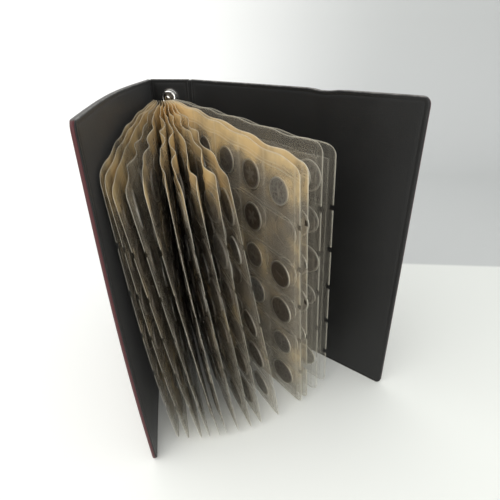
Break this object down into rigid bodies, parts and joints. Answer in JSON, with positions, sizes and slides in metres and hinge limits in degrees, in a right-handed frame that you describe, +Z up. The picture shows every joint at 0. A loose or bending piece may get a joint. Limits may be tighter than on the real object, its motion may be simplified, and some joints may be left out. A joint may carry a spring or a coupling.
{
  "type": "coin album",
  "caption": "Ring album for coins: hinged board covers in vinyl, a ring rail on the spine and punched leaves of coin pockets, standing open in a fan.",
  "frame": {"origin": "middle of the spine's bottom edge, on the surface that the album stands on", "axes": "+X along the spine's width towards the back cover, -Y towards the fore edge where the covers open, +Z up along the spine"},
  "size_m": [0.2573, 0.2309, 0.27],
  "materials": {
    "greyboard": "raw compressed board",
    "red_vinyl": "fine-grained dark red vinyl",
    "black_vinyl": "smooth black vinyl, soft sheen",
    "chrome": "polished, lightly worn",
    "zinc_steel": "dull plated",
    "clear_film": "aged soft clear film, yellowed",
    "coin_metal": "dark worn coin metal"
  },
  "bodies": {
    "spine": {"spine_board": "greyboard", "spine_outer_skin": "red_vinyl", "spine_lining": "black_vinyl", "front_hinge_fold": "black_vinyl", "back_hinge_fold": "black_vinyl", "ring_rail": "chrome", "rail_eyelets": "chrome"},
    "front_cover": {"front_cover_board": "greyboard", "front_cover_outer_skin": "red_vinyl", "front_cover_lining": "black_vinyl"},
    "back_cover": {"back_cover_board": "greyboard", "back_cover_outer_skin": "red_vinyl", "back_cover_lining": "black_vinyl"},
    "left_rings": {"left_half_rings": "chrome", "left_blade": "zinc_steel"},
    "right_rings": {"right_half_rings": "chrome", "right_blade": "zinc_steel"},
    "leaf_01": {"leaf_01_back_sheet": "clear_film", "leaf_01_pocket_strips": "clear_film", "leaf_01_coins": "coin_metal"},
    "leaf_02": {"leaf_02_back_sheet": "clear_film", "leaf_02_pocket_strips": "clear_film", "leaf_02_coins": "coin_metal"},
    "leaf_03": {"leaf_03_back_sheet": "clear_film", "leaf_03_pocket_strips": "clear_film", "leaf_03_coins": "coin_metal"},
    "leaf_04": {"leaf_04_back_sheet": "clear_film", "leaf_04_pocket_strips": "clear_film", "leaf_04_coins": "coin_metal"},
    "leaf_05": {"leaf_05_back_sheet": "clear_film", "leaf_05_pocket_strips": "clear_film", "leaf_05_coins": "coin_metal"},
    "leaf_06": {"leaf_06_back_sheet": "clear_film", "leaf_06_pocket_strips": "clear_film", "leaf_06_coins": "coin_metal"},
    "leaf_07": {"leaf_07_back_sheet": "clear_film", "leaf_07_pocket_strips": "clear_film", "leaf_07_coins": "coin_metal"},
    "leaf_08": {"leaf_08_back_sheet": "clear_film", "leaf_08_pocket_strips": "clear_film", "leaf_08_coins": "coin_metal"},
    "leaf_09": {"leaf_09_back_sheet": "clear_film", "leaf_09_pocket_strips": "clear_film", "leaf_09_coins": "coin_metal"},
    "leaf_10": {"leaf_10_back_sheet": "clear_film", "leaf_10_pocket_strips": "clear_film", "leaf_10_coins": "coin_metal"},
    "leaf_11": {"leaf_11_back_sheet": "clear_film", "leaf_11_pocket_strips": "clear_film", "leaf_11_coins": "coin_metal"},
    "leaf_12": {"leaf_12_back_sheet": "clear_film", "leaf_12_pocket_strips": "clear_film", "leaf_12_coins": "coin_metal"},
    "leaf_13": {"leaf_13_back_sheet": "clear_film", "leaf_13_pocket_strips": "clear_film", "leaf_13_coins": "coin_metal"},
    "leaf_14": {"leaf_14_back_sheet": "clear_film", "leaf_14_pocket_strips": "clear_film", "leaf_14_coins": "coin_metal"}
  },
  "joints": [
    {"name": "front_cover_hinge", "type": "hinge", "parent": "spine", "child": "front_cover", "pos_m": [-0.02238, 0, 0], "axis": [0, 0, -1], "range_deg": [0, 106.5]},
    {"name": "back_cover_hinge", "type": "hinge", "parent": "spine", "child": "back_cover", "pos_m": [0.02238, 0, 0], "axis": [0, 0, 1], "range_deg": [-47, 28]},
    {"name": "left_rings_open", "type": "hinge", "parent": "spine", "child": "left_rings", "pos_m": [-0.0076, -0.003, 0], "axis": [0, 0, -1], "range_deg": [0, 4.5]},
    {"name": "right_rings_open", "type": "hinge", "parent": "spine", "child": "right_rings", "pos_m": [0.0076, -0.003, 0], "axis": [0, 0, 1], "range_deg": [0, 4.5]},
    {"name": "leaf_01_turn", "type": "hinge", "parent": "spine", "child": "leaf_01", "pos_m": [-0.00914, -0.02398, 0], "axis": [0, 0, 1], "range_deg": [-0.85, 0.53]},
    {"name": "leaf_02_turn", "type": "hinge", "parent": "spine", "child": "leaf_02", "pos_m": [-0.00674, -0.02584, 0], "axis": [0, 0, 1], "range_deg": [-2.65, 1.6]},
    {"name": "leaf_03_turn", "type": "hinge", "parent": "spine", "child": "leaf_03", "pos_m": [-0.00459, -0.02689, 0], "axis": [0, 0, 1], "range_deg": [-4.65, 2.79]},
    {"name": "leaf_04_turn", "type": "hinge", "parent": "spine", "child": "leaf_04", "pos_m": [-0.00258, -0.02746, 0], "axis": [0, 0, 1], "range_deg": [-6.85, 4.1]},
    {"name": "leaf_05_turn", "type": "hinge", "parent": "spine", "child": "leaf_05", "pos_m": [-0.00066, -0.0277, 0], "axis": [0, 0, 1], "range_deg": [-9.25, 5.53]},
    {"name": "leaf_06_turn", "type": "hinge", "parent": "spine", "child": "leaf_06", "pos_m": [0.00116, -0.02767, 0], "axis": [0, 0, 1], "range_deg": [-11.85, 7.08]},
    {"name": "leaf_07_turn", "type": "hinge", "parent": "spine", "child": "leaf_07", "pos_m": [0.00292, -0.02739, 0], "axis": [0, 0, 1], "range_deg": [-14.85, 8.87]},
    {"name": "leaf_08_turn", "type": "hinge", "parent": "spine", "child": "leaf_08", "pos_m": [0.0046, -0.02688, 0], "axis": [0, 0, 1], "range_deg": [-17.85, 10.65]},
    {"name": "leaf_09_turn", "type": "hinge", "parent": "spine", "child": "leaf_09", "pos_m": [0.00622, -0.02614, 0], "axis": [0, 0, 1], "range_deg": [-21.25, 12.68]},
    {"name": "leaf_10_turn", "type": "hinge", "parent": "spine", "child": "leaf_10", "pos_m": [0.00776, -0.02516, 0], "axis": [0, 0, 1], "range_deg": [-25.75, 15.36]},
    {"name": "leaf_11_turn", "type": "hinge", "parent": "spine", "child": "leaf_11", "pos_m": [0.00922, -0.0239, 0], "axis": [0, 0, 1], "range_deg": [-30.75, 18.34]},
    {"name": "leaf_12_turn", "type": "hinge", "parent": "spine", "child": "leaf_12", "pos_m": [0.01058, -0.02231, 0], "axis": [0, 0, 1], "range_deg": [-35.25, 21.02]},
    {"name": "leaf_13_turn", "type": "hinge", "parent": "spine", "child": "leaf_13", "pos_m": [0.01179, -0.02025, 0], "axis": [0, 0, 1], "range_deg": [-39.25, 23.4]},
    {"name": "leaf_14_turn", "type": "hinge", "parent": "spine", "child": "leaf_14", "pos_m": [0.01276, -0.01736, 0], "axis": [0, 0, 1], "range_deg": [-44.25, 26.38]}
  ],
  "couplings": [
    {"joint": "right_rings_open", "follows": "left_rings_open", "ratio": 1},
    {"joint": "leaf_01_turn", "follows": "back_cover_hinge", "ratio": 0.01702},
    {"joint": "leaf_02_turn", "follows": "back_cover_hinge", "ratio": 0.05532},
    {"joint": "leaf_03_turn", "follows": "back_cover_hinge", "ratio": 0.09787},
    {"joint": "leaf_04_turn", "follows": "back_cover_hinge", "ratio": 0.14468},
    {"joint": "leaf_05_turn", "follows": "back_cover_hinge", "ratio": 0.19574},
    {"joint": "leaf_06_turn", "follows": "back_cover_hinge", "ratio": 0.25106},
    {"joint": "leaf_07_turn", "follows": "back_cover_hinge", "ratio": 0.31489},
    {"joint": "leaf_08_turn", "follows": "back_cover_hinge", "ratio": 0.37872},
    {"joint": "leaf_09_turn", "follows": "back_cover_hinge", "ratio": 0.45106},
    {"joint": "leaf_10_turn", "follows": "back_cover_hinge", "ratio": 0.54681},
    {"joint": "leaf_11_turn", "follows": "back_cover_hinge", "ratio": 0.65319},
    {"joint": "leaf_12_turn", "follows": "back_cover_hinge", "ratio": 0.74894},
    {"joint": "leaf_13_turn", "follows": "back_cover_hinge", "ratio": 0.83404},
    {"joint": "leaf_14_turn", "follows": "back_cover_hinge", "ratio": 0.94043}
  ]
}
